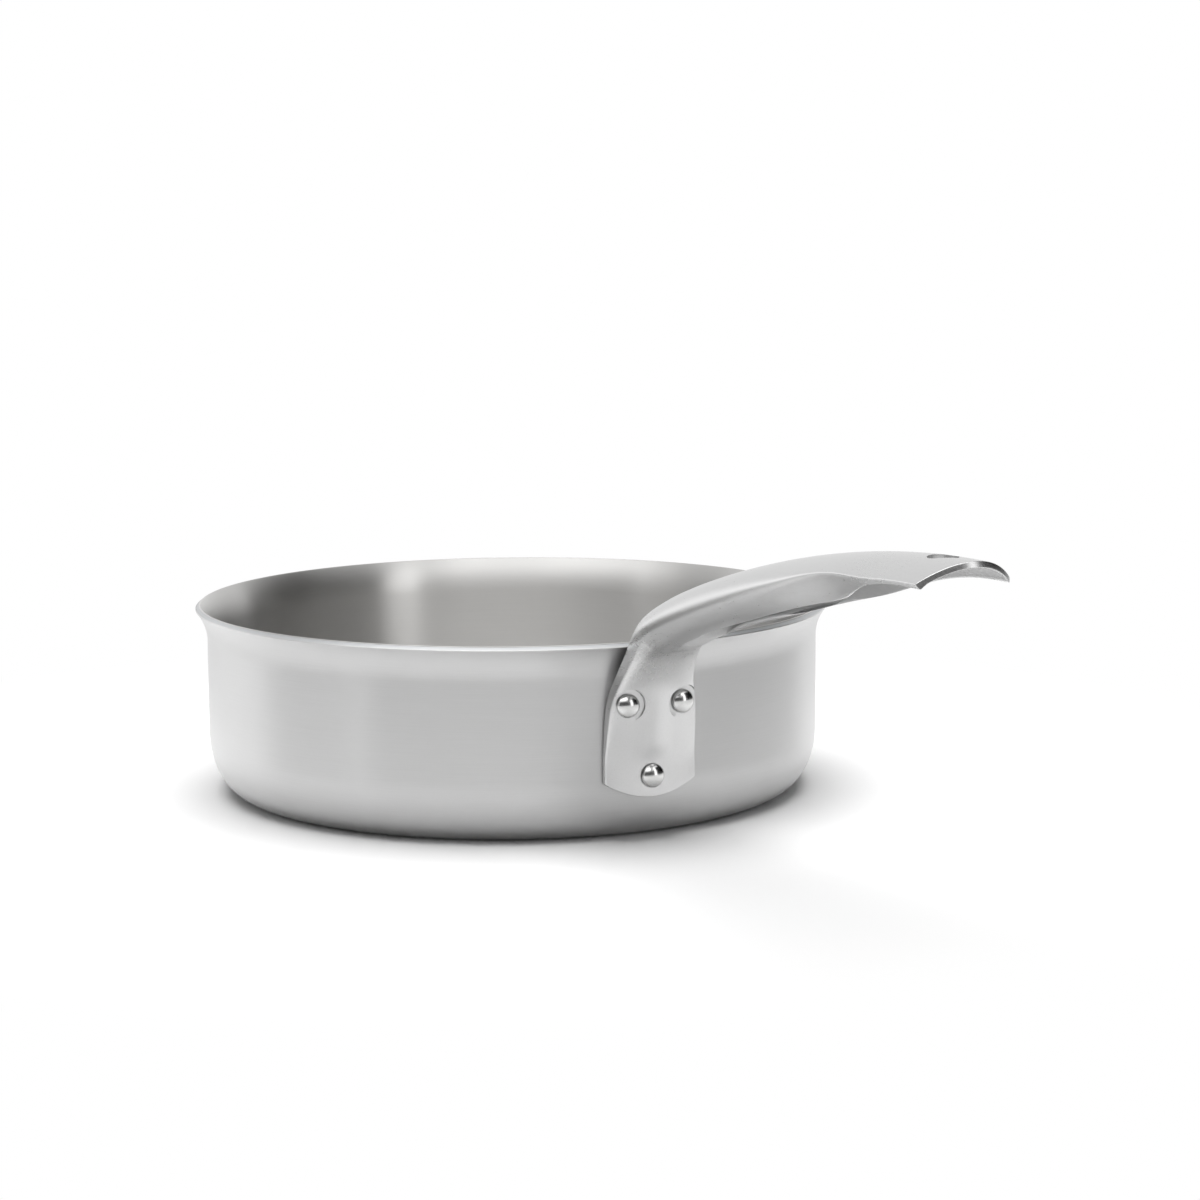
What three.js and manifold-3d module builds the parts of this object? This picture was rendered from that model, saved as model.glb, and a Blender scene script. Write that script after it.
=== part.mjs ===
// Saute pan of three-layer clad steel with a riveted one-piece handle.
// Millimetres, +Z up. The origin is the centre of the base, on the surface that the pan stands on.
// The handle points along +X, so the pan is symmetric about the plane y = 0.
import * as THREE from 'three';
import { mergeVertices } from 'three/addons/utils/BufferGeometryUtils.js';
import Module from 'manifold-3d';

const wasm = await Module();
wasm.setup();

const DEGREE = Math.PI / 180;

// Clad body: steel outside, aluminium in the middle, steel inside
const INSIDE_DIAMETER = 240;
const PAN_HEIGHT = 75.6;
const OUTER_SKIN = 0.5;
const CORE = 1.5;
const LINER = 0.5;
const CORNER_REACH = 15;
const CORNER_HEIGHT = 24;
const LIP_RADIUS = 20;
const LIP_ANGLE = 40 * DEGREE;

// Handle, from the pan outwards: plate on the wall, neck past the rim, shaft, open grip
const PLATE_WIDTH = 37;
const PLATE_THICKNESS = 3;
const PLATE_LENGTH = 35;
const FOOT_ARC = 5.8;
const HEEL_DROP = 23.6;
const HEEL_WIDTH = 35;
const HEEL_DEPTH = 6.6;
const ROOT_WIDTH = 30;
const ROOT_DEPTH = 9;
const RIM_GAP = 1;
const PASS_LEAN = 22 * DEGREE;
const PLATE_PULL = 0.35;
const PASS_WIDTH = 26.6;
const PASS_DEPTH = 12.8;
const BEND_WIDTH = 25.9;
const BEND_DEPTH = 16.3;
const KNEE_WIDTH = 25.4;
const KNEE_DEPTH = 17.3;
const NECK_REACH = 25;
const NECK_RISE = 20;
const NECK_SLOPE = 23 * DEGREE;
const BEND_PULL = 0.48;
const NECK_PULL = 0.07;
const SHAFT_WIDTH = 25;
const SHAFT_DEPTH = 18.6;
const PALM_WIDTH = 26.4;
const PALM_CROWN = 7.8;
const PALM_BELLY = 12;
const PALM_WRAP = 56 * DEGREE;
const FLARE_WIDTH = 28;
const FLARE_CROWN = 5.9;
const FLARE_BELLY = 12;
const FLARE_WRAP = 56 * DEGREE;
const ARCH_WIDTH = 30.8;
const ARCH_CROWN = 7.2;
const ARCH_WRAP = 27 * DEGREE;
const GRIP_WIDTH = 33.6;
const GRIP_CROWN = 6.9;
const GRIP_WRAP = 20 * DEGREE;
const HANDLE_REACH = 214;
const HANDLE_RISE = 54.2;
const END_SLOPE = -0.4 * DEGREE;
const END_PULL = 0.45;
const END_ARC = 8;
const END_LEAN = 13 * DEGREE;
const SHELL = 2;
const SLOT_WRAP = 66 * DEGREE;
const SPINE_WIDTH = 15;
const SPINE_HEIGHT = 1.2;

// Hang hole near the end of the grip: a teardrop with its point towards the end
const HANG_HOLE_WIDTH = 10;
const HANG_HOLE_LENGTH = 13;
const HANG_HOLE_MARGIN = 9.7;

// Rivets: two above, whose seats are sunk into the heel of the handle, and one below, on the plate
const SHANK_DIAMETER = 5.5;
const HEAD_DIAMETER = 9;
const HEAD_HEIGHT = 2.8;
const INNER_HEAD_DIAMETER = 12;
const INNER_HEAD_HEIGHT = 1.8;
const UPPER_RIVET_DROP = 23.2;
const UPPER_RIVET_SPACING = 22.4;
const UPPER_SEAT_RISE = 2.7;
const SEAT_DIAMETER = 13;
const LOWER_RIVET_RISE = 8;

// Play between pieces that are fitted to each other
const CLEARANCE = 0.3;

// Facets
const ROUND = 60;
const CORNER_STEPS = 5;
const LIP_STEPS = 3;
const SPAN_STEPS = [8, 7, 7, 30];
const OUTSIDE_POINTS = 25;
const UNDERSIDE_POINTS = 13;
const RIVET_ROUND = 16;
const DOME_STEPS = 4;

// Sizes that follow from those above
const insideRadius = INSIDE_DIAMETER / 2;
const cladding = OUTER_SKIN + CORE + LINER;
const wallRadius = insideRadius + cladding;
const lipCentre = new THREE.Vector2(
  wallRadius + LIP_RADIUS,
  PAN_HEIGHT - (LIP_RADIUS + cladding) * Math.sin(LIP_ANGLE),
);
const rimRadius = lipCentre.x - LIP_RADIUS * Math.cos(LIP_ANGLE);
const plateBack = wallRadius + CLEARANCE;
const plateFace = plateBack + PLATE_THICKNESS;
const heelHeight = PAN_HEIGHT - HEEL_DROP;
const footHeight = heelHeight - PLATE_LENGTH;
const upperSeat = plateFace + UPPER_SEAT_RISE;
const upperHeight = PAN_HEIGHT - UPPER_RIVET_DROP;
const upperTurn = Math.asin(UPPER_RIVET_SPACING / 2 / upperSeat);
const RIVETS = [
  { name: 'rivet_upper_left', turn: -upperTurn, height: upperHeight, seat: upperSeat },
  { name: 'rivet_upper_right', turn: upperTurn, height: upperHeight, seat: upperSeat },
  { name: 'rivet_lower', turn: 0, height: footHeight + LOWER_RIVET_RISE, seat: plateFace },
];

const skinSteel = new THREE.MeshStandardMaterial({ color: 0xc8c8c7, metalness: 1, roughness: 0.34 });
const coreAluminium = new THREE.MeshStandardMaterial({ color: 0xb4b8bb, metalness: 1, roughness: 0.5 });
const linerSteel = new THREE.MeshStandardMaterial({ color: 0xc4c3c0, metalness: 1, roughness: 0.3 });
const handleSteel = new THREE.MeshStandardMaterial({ color: 0xd0d0d0, metalness: 1, roughness: 0.22 });
const rivetSteel = new THREE.MeshStandardMaterial({ color: 0xd4d4d3, metalness: 1, roughness: 0.15 });

// Closed geometry to solid and back, for cutting
function solidOf(geometry) {
  const bare = geometry.clone();
  bare.deleteAttribute('normal');
  bare.deleteAttribute('uv');
  const merged = mergeVertices(bare);
  const corners = merged.index.array;
  const triVerts = [];
  for (let i = 0; i < corners.length; i += 3) {
    const [a, b, c] = corners.subarray(i, i + 3);
    if (a !== b && b !== c && c !== a) triVerts.push(a, b, c);
  }
  return new wasm.Manifold(new wasm.Mesh({
    numProp: 3,
    vertProperties: merged.attributes.position.array,
    triVerts: new Uint32Array(triVerts),
  }));
}

function geometryOf(solid) {
  const cut = solid.getMesh();
  const geometry = new THREE.BufferGeometry();
  geometry.setAttribute('position', new THREE.BufferAttribute(cut.vertProperties, 3));
  geometry.setIndex(new THREE.BufferAttribute(cut.triVerts, 1));
  geometry.computeVertexNormals();
  return geometry;
}

// A profile of (radius, height) points turned about Z
function turned(profile, segments) {
  return new THREE.LatheGeometry(profile, segments).rotateX(Math.PI / 2);
}

// Turns a shape made along +Z to point out of the pan, square to the wall
function alongRivet(geometry, rivet) {
  return geometry.rotateY(Math.PI / 2).rotateZ(rivet.turn).translate(0, 0, rivet.height);
}

// A round bar on a rivet's axis, between two distances from the pan's axis
function rivetBar(rivet, radius, from, to) {
  const bar = new THREE.CylinderGeometry(radius, radius, to - from, RIVET_ROUND);
  bar.rotateX(Math.PI / 2).translate(0, 0, (from + to) / 2);
  return solidOf(alongRivet(bar, rivet));
}

function rivetHoles() {
  const radius = SHANK_DIAMETER / 2 + CLEARANCE;
  return RIVETS.map((rivet) => rivetBar(rivet, radius, insideRadius / 2, rimRadius + PLATE_WIDTH));
}

// One face of the clad sheet, at a depth below the outside, from the axis to the edge of the lip
function sheetFace(depth) {
  const flatRadius = wallRadius - CORNER_REACH;
  const points = [new THREE.Vector2(0, depth)];
  for (let i = 0; i <= CORNER_STEPS; i++) {
    const turn = (i / CORNER_STEPS) * (Math.PI / 2);
    points.push(new THREE.Vector2(
      flatRadius + (CORNER_REACH - depth) * Math.sin(turn),
      CORNER_HEIGHT - (CORNER_HEIGHT - depth) * Math.cos(turn),
    ));
  }
  for (let i = 0; i <= LIP_STEPS; i++) {
    const turn = (i / LIP_STEPS) * LIP_ANGLE;
    points.push(new THREE.Vector2(
      lipCentre.x - (LIP_RADIUS + depth) * Math.cos(turn),
      lipCentre.y + (LIP_RADIUS + depth) * Math.sin(turn),
    ));
  }
  return points;
}

// The radius of the inside of the wall at a height, less in the corner than above it
function insideRadiusAt(height) {
  const down = Math.max(CORNER_HEIGHT - height, 0) / (CORNER_HEIGHT - cladding);
  return insideRadius - (CORNER_REACH - cladding) * (1 - Math.sqrt(1 - down ** 2));
}

// A layer of the sheet between two depths, with the rivet holes through it
function layer(outerDepth, innerDepth, holes) {
  const profile = [...sheetFace(outerDepth), ...sheetFace(innerDepth).reverse()];
  const solid = solidOf(turned(profile, ROUND));
  return geometryOf(holes.reduce((left, hole) => left.subtract(hole), solid));
}

// The line along the middle of the handle's upper face, which lies on the wall at the plate:
// u from 0 to 1 up the plate, to 2 out past the rim, to 3 round the bend, to 4 along the shaft
const foot = new THREE.Vector2(plateBack, footHeight);
const heel = new THREE.Vector2(plateBack, heelHeight);
const pass = new THREE.Vector2(rimRadius + RIM_GAP, lipCentre.y + LIP_RADIUS * Math.sin(LIP_ANGLE));
const neck = new THREE.Vector2(rimRadius + NECK_REACH, PAN_HEIGHT + NECK_RISE);
const end = new THREE.Vector2(rimRadius + HANDLE_REACH, PAN_HEIGHT + HANDLE_RISE);

// A smooth curve between two places, leaving and arriving at given angles. Each pull is how far the
// curve keeps to its angle there, as a part of the straight distance between the places
function sweep(from, fromAngle, fromPull, to, toAngle, toPull) {
  const distance = from.distanceTo(to);
  const leave = new THREE.Vector2(Math.cos(fromAngle), Math.sin(fromAngle));
  const arrive = new THREE.Vector2(Math.cos(toAngle), Math.sin(toAngle));
  return new THREE.CubicBezierCurve(
    from,
    from.clone().addScaledVector(leave, fromPull * distance),
    to.clone().addScaledVector(arrive, -toPull * distance),
    to,
  );
}

const UPRIGHT = Math.PI / 2;
const upperLine = [
  new THREE.LineCurve(foot, heel),
  sweep(heel, UPRIGHT, PLATE_PULL, pass, UPRIGHT - PASS_LEAN, PLATE_PULL),
  sweep(pass, UPRIGHT - PASS_LEAN, BEND_PULL, neck, NECK_SLOPE, BEND_PULL),
  sweep(neck, NECK_SLOPE, NECK_PULL, end, END_SLOPE, END_PULL),
];

// Sections along that line, each a rounded box about its widest level. The columns are u, the width,
// the crown above the widest level, the belly below it, how square the upper and the lower half are
// (2 is an ellipse), how far the sides wrap round under the belly, and how sharp their ridges are
const even = (u, width, depth, upper, lower) => [u, width, depth / 2, depth / 2, upper, lower, SLOT_WRAP, 0];
const SECTIONS = [
  even(0, PLATE_WIDTH, PLATE_THICKNESS, 9, 9),
  even(0.4, PLATE_WIDTH, PLATE_THICKNESS, 9, 9),
  even(1, HEEL_WIDTH, HEEL_DEPTH, 9, 5),
  even(1.5, ROOT_WIDTH, ROOT_DEPTH, 6, 4),
  even(2, PASS_WIDTH, PASS_DEPTH, 4, 3),
  even(2.25, BEND_WIDTH, BEND_DEPTH, 3.2, 2.7),
  even(2.5, KNEE_WIDTH, KNEE_DEPTH, 2.6, 2.5),
  even(3, SHAFT_WIDTH, SHAFT_DEPTH, 2.2, 2.3),
  even(3.33, SHAFT_WIDTH, SHAFT_DEPTH, 2.1, 2.2),
  [3.57, PALM_WIDTH, PALM_CROWN, PALM_BELLY, 2, 2, PALM_WRAP, 0.35],
  [3.74, FLARE_WIDTH, FLARE_CROWN, FLARE_BELLY, 2, 2, FLARE_WRAP, 0.9],
  [3.85, ARCH_WIDTH, ARCH_CROWN, FLARE_BELLY, 2, 2, ARCH_WRAP, 1],
  [3.92, (ARCH_WIDTH + GRIP_WIDTH) / 2, (ARCH_CROWN + GRIP_CROWN) / 2, FLARE_BELLY, 2, 2, GRIP_WRAP, 1],
  [4, GRIP_WIDTH, GRIP_CROWN, FLARE_BELLY, 2, 2, GRIP_WRAP, 1],
];
const stations = new THREE.CubicInterpolant(
  SECTIONS.map(([u]) => u),
  SECTIONS.flatMap(([, ...columns]) => columns),
  SECTIONS[0].length - 1,
  new Float64Array(SECTIONS[0].length - 1),
);

// Where along the line a feature begins and where it is complete
const FOOT_BOW = [0, 0.7];
const SPINE_TIP = [0.35, 0.6];
const SPINE_FADE = [1, 1.5];
const OFF_THE_WALL = [1, 2];
const SLOT_HEAD = [3.18, 3.32];
const END_BOW = [3.74, 4];
const RIDGE_CURVE = 2.1;
const { lerp, smoothstep } = THREE.MathUtils;
const ramp = (u, [begin, complete]) => smoothstep(u, begin, complete);

// The section at u, with the features that come and go: the inner faces of the sides, which open out
// towards the end of the grip, how closely the upper face follows the wall, the height of the spine on
// the plate, the hollow underneath, how far the middle of the section lies ahead of its corners, and
// how far it leans
function sectionAt(u) {
  const [width, crown, belly, upper, lower, wrap, ridge] = stations.evaluate(u);
  return {
    halfWidth: width / 2,
    crown,
    belly,
    upper,
    lower,
    wrap,
    insideWrap: wrap * (1 - ramp(u, END_BOW)),
    ridge: Math.min(ridge, 1),
    follow: 1 - ramp(u, OFF_THE_WALL),
    spine: SPINE_HEIGHT * (ramp(u, SPINE_TIP) - ramp(u, SPINE_FADE)),
    hollow: ramp(u, SLOT_HEAD),
    bow: END_ARC * ramp(u, END_BOW) - FOOT_ARC * (1 - ramp(u, FOOT_BOW)),
    lean: Math.tan(END_LEAN) * ramp(u, END_BOW),
  };
}

// A point of a section, with `around` 0 at the +Y side and a quarter turn at the crown, on an outline
// that is smaller by `inset` all round, and by a quarter more behind a sharp ridge
function sectionPoint(section, around, inset) {
  const across = Math.cos(around);
  const up = Math.sin(around);
  const square = up > 0 ? section.upper : section.lower;
  const height = (up > 0 ? section.crown : section.belly) - inset;
  const halfWidth = section.halfWidth - inset * (1 + section.ridge / 4);
  const swell = (Math.abs(across) ** square + Math.abs(up) ** square) ** (-1 / square);
  const ridged = Math.sign(up) * (1 - Math.abs(across) ** RIDGE_CURVE);
  return new THREE.Vector2(
    halfWidth * swell * across,
    height * lerp(swell * up, ridged, section.ridge) - section.crown,
  );
}

// The closed outline of a section, as (sideways, upwards) points: over the outside, then the underside
function outlineOf(section) {
  const { crown, wrap, insideWrap, follow, spine, hollow } = section;
  const outline = [];
  for (let i = 0; i < OUTSIDE_POINTS; i++) {
    const around = lerp(-wrap, Math.PI + wrap, i / (OUTSIDE_POINTS - 1));
    outline.push(sectionPoint(section, around, 0));
  }
  for (let i = 0; i < UNDERSIDE_POINTS; i++) {
    const aroundBelow = lerp(Math.PI + wrap, 2 * Math.PI - wrap, (i + 1) / (UNDERSIDE_POINTS + 1));
    const aroundInside = lerp(Math.PI + insideWrap, -insideWrap, i / (UNDERSIDE_POINTS - 1));
    const closed = sectionPoint(section, aroundBelow, 0);
    outline.push(closed.lerp(sectionPoint(section, aroundInside, SHELL), hollow));
  }
  for (const point of outline) {
    const onSpine = 1 - smoothstep(Math.abs(point.x), SPINE_WIDTH / 4, SPINE_WIDTH / 2);
    if (point.y < -crown) point.y -= spine * onSpine;
    point.y += follow * (plateBack - Math.sqrt(plateBack ** 2 - point.x ** 2));
  }
  return outline;
}

// The outline at u, set square to the upper line and bowed along the handle
function ringAt(u) {
  const span = Math.min(Math.floor(u), upperLine.length - 1);
  const place = upperLine[span].getPoint(u - span);
  const along = upperLine[span].getTangent(u - span);
  const section = sectionAt(u);
  return outlineOf(section).map((point) => {
    const shift = -section.bow * (point.x / section.halfWidth) ** 2 - section.lean * point.y;
    return new THREE.Vector3(
      place.x + along.x * shift - along.y * point.y,
      point.x,
      place.y + along.y * shift + along.x * point.y,
    );
  });
}

// A skin over rings of equally many points, closed by a cap over each end
function loft(rings, firstCap, lastCap) {
  const count = rings[0].length;
  const corners = [];
  for (let ring = 0; ring + 1 < rings.length; ring++) {
    for (let i = 0; i < count; i++) {
      const a = ring * count + i;
      const b = ring * count + ((i + 1) % count);
      corners.push(a, b, a + count, b, b + count, a + count);
    }
  }
  const last = (rings.length - 1) * count;
  for (const [a, b, c] of THREE.ShapeUtils.triangulateShape(firstCap, [])) {
    corners.push(a, c, b);
  }
  for (const [a, b, c] of THREE.ShapeUtils.triangulateShape(lastCap, [])) {
    corners.push(last + a, last + b, last + c);
  }
  const geometry = new THREE.BufferGeometry().setFromPoints(rings.flat());
  geometry.setIndex(corners);
  return geometry;
}

function hangHole() {
  const radius = HANG_HOLE_WIDTH / 2;
  const tip = end.x - HANG_HOLE_MARGIN;
  const centre = tip - HANG_HOLE_LENGTH + radius;
  const lean = Math.acos(radius / (tip - centre));
  const teardrop = new THREE.Shape();
  teardrop.moveTo(tip, 0);
  teardrop.lineTo(centre + radius * Math.cos(lean), radius * Math.sin(lean));
  teardrop.absarc(centre, 0, radius, lean, 2 * Math.PI - lean, false);
  teardrop.closePath();
  const options = { depth: GRIP_WIDTH, bevelEnabled: false, curveSegments: RIVET_ROUND };
  const drop = new THREE.ExtrudeGeometry(teardrop, options);
  return solidOf(drop.translate(0, 0, end.y - GRIP_WIDTH / 2));
}

function handle(holes) {
  const stops = [];
  SPAN_STEPS.forEach((steps, span) => {
    for (let i = 0; i < steps; i++) stops.push(span + i / steps);
  });
  stops.push(SPAN_STEPS.length);
  const firstCap = outlineOf(sectionAt(0));
  const lastCap = outlineOf(sectionAt(SPAN_STEPS.length));
  const body = solidOf(loft(stops.map(ringAt), firstCap, lastCap));
  const sunk = RIVETS.filter((rivet) => rivet.seat > plateFace);
  const seats = sunk.map((rivet) => rivetBar(rivet, SEAT_DIAMETER / 2, rivet.seat, rimRadius + PLATE_WIDTH));
  return geometryOf([...seats, ...holes, hangHole()].reduce((left, cut) => left.subtract(cut), body));
}

// A rivet: low head inside the pan, shank through sheet and plate, domed head on the plate
function rivet(place) {
  const innerRadius = INNER_HEAD_DIAMETER / 2;
  const headRadius = HEAD_DIAMETER / 2;
  const shankRadius = SHANK_DIAMETER / 2;
  const wallInside = insideRadiusAt(place.height - innerRadius);
  const innerSeat = Math.sqrt(wallInside ** 2 - innerRadius ** 2) - CLEARANCE;
  const outerSeat = place.seat + CLEARANCE;
  const profile = [];
  for (let i = 0; i <= DOME_STEPS; i++) {
    const turn = (i / DOME_STEPS) * (Math.PI / 2);
    profile.push(new THREE.Vector2(
      innerRadius * Math.sin(turn),
      innerSeat - INNER_HEAD_HEIGHT * Math.cos(turn),
    ));
  }
  profile.push(new THREE.Vector2(shankRadius, innerSeat), new THREE.Vector2(shankRadius, outerSeat));
  for (let i = 0; i <= DOME_STEPS; i++) {
    const turn = (i / DOME_STEPS) * (Math.PI / 2);
    profile.push(new THREE.Vector2(
      headRadius * Math.cos(turn),
      outerSeat + HEAD_HEIGHT * Math.sin(turn),
    ));
  }
  return geometryOf(solidOf(alongRivet(turned(profile, RIVET_ROUND), place)));
}

function piece(name, geometry, material) {
  const mesh = new THREE.Mesh(geometry, material);
  mesh.name = name;
  return mesh;
}

const holes = rivetHoles();
const pan = new THREE.Group();
pan.name = 'saute_pan';
pan.add(
  piece('outer_steel_skin', layer(0, OUTER_SKIN, holes), skinSteel),
  piece('aluminium_core', layer(OUTER_SKIN, OUTER_SKIN + CORE, holes), coreAluminium),
  piece('inner_steel_liner', layer(OUTER_SKIN + CORE, cladding, holes), linerSteel),
  piece('handle', handle(holes), handleSteel),
);
RIVETS.forEach((place) => pan.add(piece(place.name, rivet(place), rivetSteel)));

export default pan;
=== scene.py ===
# %% [markdown]
# # A saute pan of clad steel
# The pan is pressed from a sheet of three bonded metals, and a cast steel handle is riveted to its wall.
# The CAD model has the right sizes but flat facets, and polished metal shows every facet in its
# reflections. So each piece is made again here, from the same sizes, as a fine and smooth mesh.

from math import acos, asin, atan, cos, degrees, pi, radians, sin, sqrt, tan

import bmesh
import bpy
from mathutils import Matrix, Quaternion, Vector


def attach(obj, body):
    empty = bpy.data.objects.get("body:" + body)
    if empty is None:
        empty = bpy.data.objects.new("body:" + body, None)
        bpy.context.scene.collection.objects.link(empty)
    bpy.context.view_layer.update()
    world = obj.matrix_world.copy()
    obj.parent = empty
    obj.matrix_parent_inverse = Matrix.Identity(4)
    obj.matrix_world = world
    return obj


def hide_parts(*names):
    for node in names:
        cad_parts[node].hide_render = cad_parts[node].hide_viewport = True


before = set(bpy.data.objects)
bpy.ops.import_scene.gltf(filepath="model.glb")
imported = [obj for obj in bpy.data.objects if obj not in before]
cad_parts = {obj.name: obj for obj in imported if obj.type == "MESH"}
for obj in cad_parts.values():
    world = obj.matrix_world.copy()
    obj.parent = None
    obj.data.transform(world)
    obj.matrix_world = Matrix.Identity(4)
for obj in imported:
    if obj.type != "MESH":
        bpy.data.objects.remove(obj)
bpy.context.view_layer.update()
print("CAD nodes:", ", ".join(sorted(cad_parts)))

# %% [markdown]
# ## The clad body
# A disc of three bonded sheets is drawn into a bowl: steel outside, aluminium in the middle to spread
# the heat, steel inside. A straight wall rises from a rounded corner, and the lip flares out so that
# the pan pours without dripping. A cylinder with bevelled edges would come close, but this corner is
# taller than it is wide, so the profile is drawn from its sizes, which are those of the CAD model.

# %% Sizes of the clad sheet
MM = 0.001
INSIDE_DIAMETER = 240 * MM
PAN_HEIGHT = 75.6 * MM
SKIN = 0.5 * MM
CORE = 1.5 * MM
LINER = 0.5 * MM
CORNER_REACH = 15 * MM
CORNER_HEIGHT = 24 * MM
LIP_RADIUS = 20 * MM
LIP_ANGLE = radians(40)

sheet = SKIN + CORE + LINER
wall_radius = INSIDE_DIAMETER / 2 + sheet
lip_centre = Vector((wall_radius + LIP_RADIUS, PAN_HEIGHT - (LIP_RADIUS + sheet) * sin(LIP_ANGLE)))
rim_radius = lip_centre.x - LIP_RADIUS * cos(LIP_ANGLE)

# %% [markdown]
# A turned shape needs only its profile: points of radius and height. All the faces of the sheet have
# the same profile at another depth below the outside, so one function can draw them all. It starts with
# the lip, an arc whose centre lies outside the pan, so that a deeper face has a larger radius.


# %% The arc of the lip
def steps(count):
    """Shares of a way, from 0 to 1 in equal steps."""
    return [i / count for i in range(count + 1)]


def on_lip(depth, back):
    """A point of the lip, at a depth below the outside and some way back from its cut edge."""
    reach = LIP_RADIUS + depth
    turn = LIP_ANGLE - back / reach
    return Vector((lip_centre.x - reach * cos(turn), lip_centre.y + reach * sin(turn)))


print("top of the lip in mm:", round(on_lip(sheet, 0).y / MM, 2))

# %% [markdown]
# Rings are set close together even on the straight wall. It would need only two, but a long facet next
# to a curve bends the reflections near its ends.

# %% One face of the sheet
FLAT_RINGS = 8
CORNER_STEPS = 32
WALL_STEPS = 12
LIP_STEPS = 20


def sheet_face(depth, back):
    """One face of the sheet, from the middle of the base to a little short of the edge of the lip."""
    flat = wall_radius - CORNER_REACH
    face = [Vector((flat * (1 - (1 - step) ** 2), depth)) for step in steps(FLAT_RINGS)[:-1]]
    for step in steps(CORNER_STEPS):
        across = (CORNER_REACH - depth) * sin(step * pi / 2)
        down = (CORNER_HEIGHT - depth) * cos(step * pi / 2)
        face.append(Vector((flat + across, CORNER_HEIGHT - down)))
    for step in steps(WALL_STEPS)[1:-1]:
        face.append(Vector((wall_radius - depth, CORNER_HEIGHT + step * (lip_centre.y - CORNER_HEIGHT))))
    whole_lip = LIP_ANGLE * (LIP_RADIUS + depth)
    face += [on_lip(depth, whole_lip + step * (back - whole_lip)) for step in steps(LIP_STEPS)]
    return face


print("points in one face:", len(sheet_face(0, 0)))

# %% [markdown]
# Every mesh of the pan is finished in the same way. Smooth shading makes the facets vanish, and it is
# kept off the true corners by marking each edge that is sharper than 35 degrees.

# %% Smooth meshes with crisp corners
SHARP = radians(35)


def finish_mesh(name, shape):
    """An object from a bmesh shape, smooth except at its sharp edges."""
    bmesh.ops.recalc_face_normals(shape, faces=shape.faces)
    mesh = bpy.data.meshes.new(name)
    shape.to_mesh(mesh)
    shape.free()
    mesh.shade_smooth()
    mesh.set_sharp_from_angle(angle=SHARP)
    piece = bpy.data.objects.new(name, mesh)
    bpy.context.collection.objects.link(piece)
    return piece


print("edges stay crisp above", round(degrees(SHARP)), "degrees")

# %% [markdown]
# Turning a profile about the upright axis is what a lathe does. Blender's Screw modifier does it too, but
# then the vertices on the axis have to be merged and the modifier applied. Here a point on the axis becomes
# a single vertex and any other point a ring, so the mesh is closed from the start.


# %% A lathe for meshes
def turned(name, profile, segments):
    """A solid turned about Z from a profile of (radius, height) points that starts and ends on the axis."""
    shape = bmesh.new()
    rings = []
    for radius, height in profile:
        turns = [2 * pi * i / segments for i in range(segments)] if radius > 0 else [0]
        rings.append([shape.verts.new((radius * cos(turn), radius * sin(turn), height)) for turn in turns])
    for lower, upper in zip(rings, rings[1:]):
        for i in range(segments):
            corners = [lower[i % len(lower)], lower[(i + 1) % segments % len(lower)]]
            corners += [upper[(i + 1) % segments % len(upper)], upper[i % len(upper)]]
            shape.faces.new(dict.fromkeys(corners))
    return finish_mesh(name, shape)


print("the skin's profile spans a radius of", round(max(p.x for p in sheet_face(0, 0)) / MM, 1), "mm")

# %% [markdown]
# The lip is cut and then polished, which eases its outer and its inner edge. A bevel would round every
# corner of a layer alike, also those against the next layer, so the two eased edges are drawn into the
# profiles instead.

# %% Ease the cut edge
EASE = 0.3 * MM
EASE_STEPS = 4


def rounding(radius, count):
    """A rounded corner in steps: how far each point lies in from one face and in from the other."""
    quarter = [step * pi / 2 for step in steps(count)]
    return [(radius * (1 - cos(turn)), radius * (1 - sin(turn))) for turn in quarter]


outer_edge = [on_lip(depth, back) for depth, back in rounding(EASE, EASE_STEPS)]
inner_edge = [on_lip(sheet - depth, back) for depth, back in rounding(EASE, EASE_STEPS)]
cut_edge = (outer_edge[-1] - inner_edge[-1]).length
print("cut edge between the two eased corners in mm:", round(cut_edge / MM, 2))

# %% [markdown]
# The soft aluminium wears back a little between the two steels. That groove is what shows the three
# layers at the rim, so the layers are three meshes and not three stripes of colour on one.

# %% Turn the three layers
ROUND = 256
CORE_WEAR = 0.15 * MM

skin_profile = sheet_face(0, EASE) + outer_edge[1:] + sheet_face(SKIN, 0)[::-1]
core_profile = sheet_face(SKIN, CORE_WEAR) + sheet_face(SKIN + CORE, CORE_WEAR)[::-1]
liner_profile = sheet_face(SKIN + CORE, 0) + inner_edge[::-1][:-1] + sheet_face(sheet, EASE)[::-1]

outer_skin = turned("pressed_skin", skin_profile, ROUND)
core = turned("pressed_core", core_profile, ROUND)
liner = turned("pressed_liner", liner_profile, ROUND)
for piece in (outer_skin, core, liner):
    print(piece.name, "faces:", len(piece.data.polygons))

# %% [markdown]
# ## The handle
# The handle is cast in one piece. A thin plate lies on the wall with a raised spine down its middle,
# a neck lifts past the rim, and a rounded shaft runs out and opens underneath into an arched grip.
# It could be sculpted, but would drift from its sizes. So it is lofted: a section is drawn at many stops
# along a line and skinned from stop to stop.

# %% Sizes of the handle
CLEARANCE = 0.3 * MM
PLATE_WIDTH = 37 * MM
PLATE_THICKNESS = 3 * MM
PLATE_LENGTH = 35 * MM
FOOT_ARC = 5.8 * MM
HEEL_DROP = 23.6 * MM
RIM_GAP = 1 * MM
NECK_REACH = 25 * MM
NECK_RISE = 20 * MM
HANDLE_REACH = 214 * MM
HANDLE_RISE = 54.2 * MM
END_ARC = 8 * MM
END_LEAN = radians(13)
SHELL = 2 * MM
SPINE_FLANK = 9 * MM
SPINE_HEIGHT = 1.2 * MM

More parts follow.
